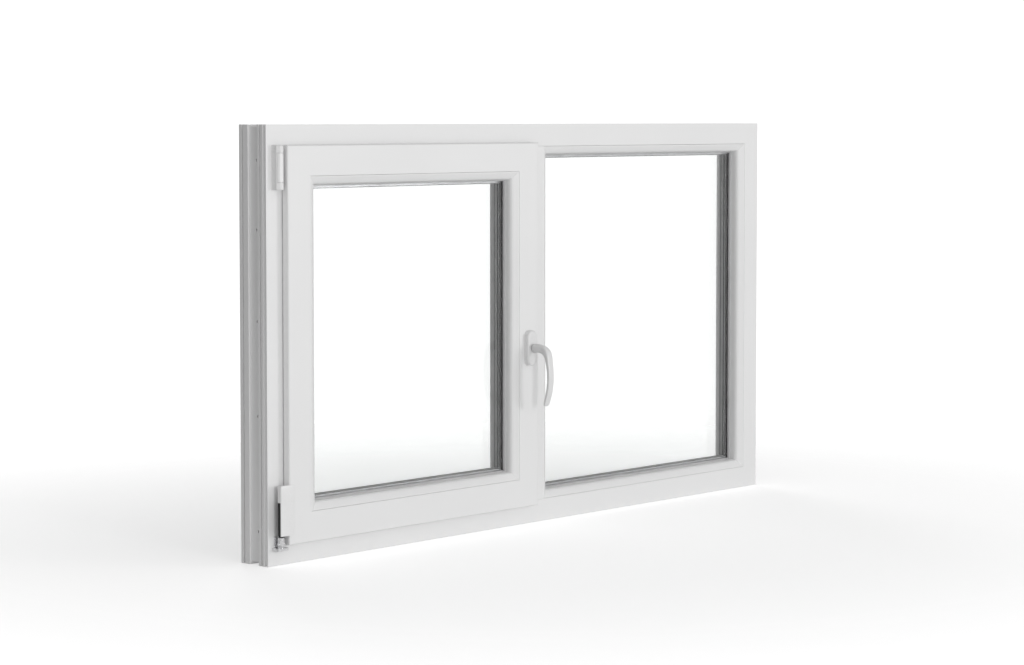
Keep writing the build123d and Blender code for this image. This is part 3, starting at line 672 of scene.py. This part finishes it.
class WINDOW_OT_hinges(bpy.types.Operator):
    """Upper stay hinge and lower corner hinge"""

    bl_idname = "window.hinges"
    bl_label = "Hinges"

    def execute(self, context):
        round_steps = context.scene.window_sizes.round_steps
        corner_steps = round_steps // 4
        paint_nodes(("stay_arm_cover",), "cover")
        paint_nodes(("upper_hinge_pin",), "steel")
        paint_nodes(("corner_bearing", "corner_pivot", "stay_arm"), "zinc")
        soften("corner_bearing", 0.5 * MM)
        soften("stay_arm_cover", 0.6 * MM)
        make_upper_bracket(corner_steps)
        make_corner_hinge(corner_steps * 4)
        make_corner_cover(corner_steps)
        return {"FINISHED"}


def hinge_axis():
    """Where the sash's upright axis stands, in plan."""
    at = JOINTS["turn"]["pos_m"]
    return at[0], at[1]


def make_upper_bracket(steps):
    """The upper hinge's frame side: a side plate with an eye above and below the sleeve."""
    low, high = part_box("upper_hinge_bracket")
    sleeve_low, sleeve_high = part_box("stay_arm_cover")
    axis_x, axis_y = hinge_axis()
    left = low.x + 1.4 * MM
    back = high.y
    front = low.y + 0.1 * MM

    eye_radius = 7.2 * MM
    corner_radius = 2.0 * MM
    corner_back = 4.2 * MM
    heel = axis_y + 4.0 * MM
    foot = axis_x + 3.0 * MM
    corner_at = (left + corner_radius, front + corner_back + corner_radius)
    eye = [(left, back)]
    eye += arc(corner_at, corner_radius, 180, 232, steps)
    eye += arc((axis_x, front + eye_radius), eye_radius, 236, 360, steps * 2)
    eye += [(axis_x + eye_radius, heel), (foot, back)]

    inset = 0.1 * MM
    nose_radius = 0.7 * MM
    nose_back = 5.5 * MM
    side = left + inset
    plate = [(side, back - inset)]
    plate += arc((side + nose_radius, low.y + nose_back), nose_radius, 180, 350, steps)
    plate += [(side + 2 * nose_radius, back - inset)]

    gap = 0.35 * MM
    soft = 0.8 * MM
    end = 2.0 * MM
    bm = bmesh.new()
    upright(bm, eye, low.z, sleeve_low.z - gap, soft)
    upright(bm, eye, sleeve_high.z + gap, high.z, soft)
    upright(bm, plate, low.z + end, high.z - end)
    mesh = finished_mesh("upper_bracket", bm, 40)
    make_piece("upper_bracket", mesh, "frame", ("coated",), "upper_hinge_bracket")


def make_corner_hinge(steps):
    """The lower hinge's foot and pin, the pin black along the cover's opening as a black sleeve
    and painted shade, and the strap to the sash.
    """
    low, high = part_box("corner_hinge")
    axis = hinge_axis()
    axis_x, axis_y = axis
    foot_radius = axis_x - low.x - 0.5 * MM
    pin_radius = 5.0 * MM
    foot_top = low.z + 15.0 * MM
    black_band_top = low.z + 76.0 * MM
    strap_bottom = low.z + 18.0 * MM
    strap_half = 0.9 * MM
    soft = 0.3 * MM
    pin = circle(axis, pin_radius, steps)
    strap = rectangle(axis_x, high.x, axis_y - strap_half, axis_y + strap_half)
    bm = bmesh.new()
    upright(bm, circle(axis, foot_radius, steps), low.z, foot_top, 2 * soft)
    upright(bm, pin, black_band_top, high.z, soft)
    # Black here, by the cover's opening: partly a black sleeve on the pin, partly painted shade of
    # the opening.
    for face in upright(bm, pin, foot_top, black_band_top, soft):
        face.material_index = 1
    upright(bm, strap, strap_bottom, high.z)
    mesh = finished_mesh("corner_barrel", bm, 40)
    make_piece("corner_barrel", mesh, "sash", ("zinc", "bush_and_shade"), "corner_hinge")


def make_corner_cover(steps):
    """The lower hinge's cover: a flat front round the sash's edge, open at its lower left, with a
    black block of painted shade inside the opening.
    """
    low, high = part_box("corner_hinge_cover")
    axis_x, axis_y = hinge_axis()
    front = low.y
    left = axis_x - 9.2 * MM
    right = high.x
    inner = axis_x + 14.4 * MM
    sash_front = front + 3.02 * MM
    flank_back = axis_y - 1.4 * MM
    bottom = low.z + 3.0 * MM
    opening_top = low.z + 61.0 * MM
    overlap = 1.0 * MM
    right_round = 0.8 * MM
    left_round = 2.4 * MM

    rest = arc((right - right_round, front + right_round), right_round, 272, 360, steps)
    rest += [(right, sash_front), (inner, sash_front), (inner, flank_back)]
    closed_part = [(left, flank_back)]
    closed_part += arc((left + left_round, front + left_round), left_round, 180, 268, steps)
    closed_part += rest

    skin = 1.7 * MM
    lip = 0.3 * MM
    opening_depth = 4.0 * MM
    open_back = left + opening_depth
    open_part = [(open_back, flank_back), (open_back, front + skin), (left + lip, front + skin)]
    open_part += arc((left + skin, front + skin), skin, 184, 268, steps)
    open_part += rest

    hair = 0.05 * MM
    # Painted shade: a black block filling the opening, standing for the shadow inside it.
    painted_shade_lining = rectangle(
        left + lip + hair, open_back + hair, front + skin + hair, flank_back - 2 * hair)

    bm = bmesh.new()
    upright(bm, closed_part, opening_top, high.z, 0.9 * MM)
    upright(bm, open_part, bottom, opening_top + overlap)
    for face in upright(bm, painted_shade_lining, bottom + lip, opening_top + overlap / 2):
        face.material_index = 1
    mesh = finished_mesh("corner_cover", bm, 40)
    make_piece("corner_cover", mesh, "sash", ("cover", "bush_and_shade"), "corner_hinge_cover")


# ------------------------------------------------------------- handle and metal


class WINDOW_OT_lock_gear(bpy.types.Operator):
    """Gearbox, rods, faceplates, keeps and pinion"""

    bl_idname = "window.lock_gear"
    bl_label = "Lock gear"

    def execute(self, context):
        paint_nodes(("lock_gearbox", "lock_keeps", "lock_faceplates", "top_lock_rod"), "zinc")
        paint_nodes(("side_lock_rod",), "rod")
        paint_nodes(("handle_pinion", "handle_spindle"), "steel")
        return {"FINISHED"}


class WINDOW_OT_handle(bpy.types.Operator):
    """Lever handle and its rosette"""

    bl_idname = "window.handle"
    bl_label = "Handle"

    def execute(self, context):
        sizes = context.scene.window_sizes
        paint_nodes(("handle_screws",), "steel")
        make_rosette(sizes.round_steps)
        make_lever(sizes.lever_width, sizes.lever_depth, sizes.round_steps)
        return {"FINISHED"}


def make_rosette(steps):
    """Oval rosette: an upright back, a rounded shoulder and a faintly domed front."""
    low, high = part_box("handle_rosette")
    middle = (low + high) / 2
    half_w = (high.x - low.x) / 2
    straight = (high.z - low.z) / 2 - half_w
    thick = high.y - low.y
    shoulder = 4.0 * MM
    rim = thick - shoulder
    shoulder_arc = arc((shoulder, rim), shoulder, 180, 105, 6)
    dome = [(5.5 * MM, thick - 0.02 * MM), (half_w - 0.6 * MM, thick)]
    bm = bmesh.new()
    rings = []
    for inset, out in [(0.0, 0.0)] + shoulder_arc + dome:
        ring = []
        for side, start in ((1, 0), (-1, 180)):
            for dx, dz in arc((0.0, side * straight), half_w - inset, start, start + 180, steps):
                ring.append(bm.verts.new((middle.x + dx, high.y - out, middle.z + dz)))
        rings.append(ring)
    loop_rings(bm, rings, closed=False)
    mesh = finished_mesh("rosette", bm, 35)
    make_piece("rosette", mesh, "sash", ("coated",), "handle_rosette")


def blunt(value, power):
    """A sine or cosine pushed outwards, which turns a round section into a rounded box."""
    return copysign(abs(value) ** (2 / power), value)


def make_lever(width, depth, steps):
    """The lever: a round neck that flares into a flat rounded bar, bowed towards the room."""
    low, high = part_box("handle_lever")
    x = (low.x + high.x) / 2
    axis_z = high.z - 9.5 * MM
    sash_front = high.y + 0.6 * MM
    neck = 9.0 * MM
    half_w = width / 2
    half_t = depth / 2
    # Out from the sash and up from the axis in mm, lean in degrees, half width, half thickness.
    stations = (
        (11.0, 0.0, 0, neck, neck),
        (20.0, 0.0, 0, neck * 0.98, neck * 0.98),
        (30.0, 0.0, 0, neck * 0.94, neck * 0.95),
        (39.0, -1.6, 20, neck * 0.92, neck * 0.90),
        (46.0, -6.4, 46, neck * 0.90, neck * 0.80),
        (50.2, -15.0, 66, half_w * 1.08, neck * 0.58),
        (52.2, -26.0, 74, half_w * 1.02, half_t * 1.12),
        (54.6, -40.0, 82, half_w, half_t),
        (55.6, -56.0, 90, half_w, half_t * 0.97),
        (54.0, -74.0, 98, half_w, half_t * 0.94),
        (50.0, -90.0, 106, half_w, half_t * 0.9),
        (45.6, -103.0, 110, half_w * 0.98, half_t * 0.86),
        (44.2, -107.0, 110, half_w * 0.86, half_t * 0.72),
        (43.3, -109.4, 110, half_w * 0.5, half_t * 0.4),
    )
    # A power of 2 is round. The section is at its squarest from this lean on.
    round_power = 2.0
    extra_power = 2.4
    squarest_lean = 60
    bm = bmesh.new()
    rings = []
    for out, up, degrees, wide, thick in stations:
        lean = radians(degrees)
        power = round_power + extra_power * min(1.0, degrees / squarest_lean)
        ring = []
        for step in range(steps):
            angle = 2 * pi * step / steps
            across = blunt(cos(angle), power) * wide
            along = blunt(sin(angle), power) * thick
            y = sash_front - out * MM - along * sin(lean)
            z = axis_z + up * MM + along * cos(lean)
            ring.append(bm.verts.new((x + across, y, z)))
        rings.append(ring)
    loop_rings(bm, rings, closed=False)
    mesh = finished_mesh("lever", bm, 60)
    body = NODE_BODY["handle_lever"]
    lever = make_piece("lever", mesh, body, ("coated",), "handle_lever")
    round_off = lever.modifiers.new("round_off", "SUBSURF")
    round_off.levels = 1
    round_off.render_levels = 1


class WINDOW_OT_inner_metal(bpy.types.Operator):
    """Reinforcement, connectors and long screws"""

    bl_idname = "window.inner_metal"
    bl_label = "Inner metal"

    def execute(self, context):
        paint_nodes(REINFORCEMENT + ("mullion_screws",), "steel")
        paint_nodes(("mullion_connectors",), "zinc")
        return {"FINISHED"}


class WINDOW_OT_drainage(bpy.types.Operator):
    """Drainage caps on the sill's outside"""

    bl_idname = "window.drainage"
    bl_label = "Drainage caps"

    def execute(self, context):
        paint_nodes(("drainage_caps",), "cover")
        return {"FINISHED"}


# --------------------------------------------------------------- panel and main

OPERATORS = (
    WINDOW_OT_stage,
    WINDOW_OT_profiles,
    WINDOW_OT_glazing,
    WINDOW_OT_seals,
    WINDOW_OT_hinges,
    WINDOW_OT_lock_gear,
    WINDOW_OT_handle,
    WINDOW_OT_inner_metal,
    WINDOW_OT_drainage,
)


class WINDOW_PT_panel(bpy.types.Panel):
    """Window finishes in the sidebar"""

    bl_idname = "WINDOW_PT_panel"
    bl_label = "Window"
    bl_space_type = "VIEW_3D"
    bl_region_type = "UI"
    bl_category = "Window"

    def draw(self, context):
        layout = self.layout
        for group in (context.scene.window_colours, context.scene.window_sizes):
            box = layout.box()
            for name in group.bl_rna.properties.keys():
                if name not in ("rna_type", "name"):
                    box.prop(group, name)
        for operator in OPERATORS:
            layout.operator(operator.bl_idname)


CLASSES = (WindowColours, WindowSizes, *OPERATORS, WINDOW_PT_panel)


def register():
    """Register the classes and the scene's settings."""
    for cls in CLASSES:
        bpy.utils.register_class(cls)
    bpy.types.Scene.window_colours = PointerProperty(type=WindowColours)
    bpy.types.Scene.window_sizes = PointerProperty(type=WindowSizes)


def unregister():
    """Remove the scene's settings and the classes."""
    del bpy.types.Scene.window_sizes
    del bpy.types.Scene.window_colours
    for cls in reversed(CLASSES):
        bpy.utils.unregister_class(cls)


def main():
    """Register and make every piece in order."""
    register()
    bpy.ops.window.stage()
    bpy.ops.window.profiles()
    bpy.ops.window.glazing()
    bpy.ops.window.seals()
    bpy.ops.window.hinges()
    bpy.ops.window.lock_gear()
    bpy.ops.window.handle()
    bpy.ops.window.inner_metal()
    bpy.ops.window.drainage()


if __name__ == "__main__":
    main()
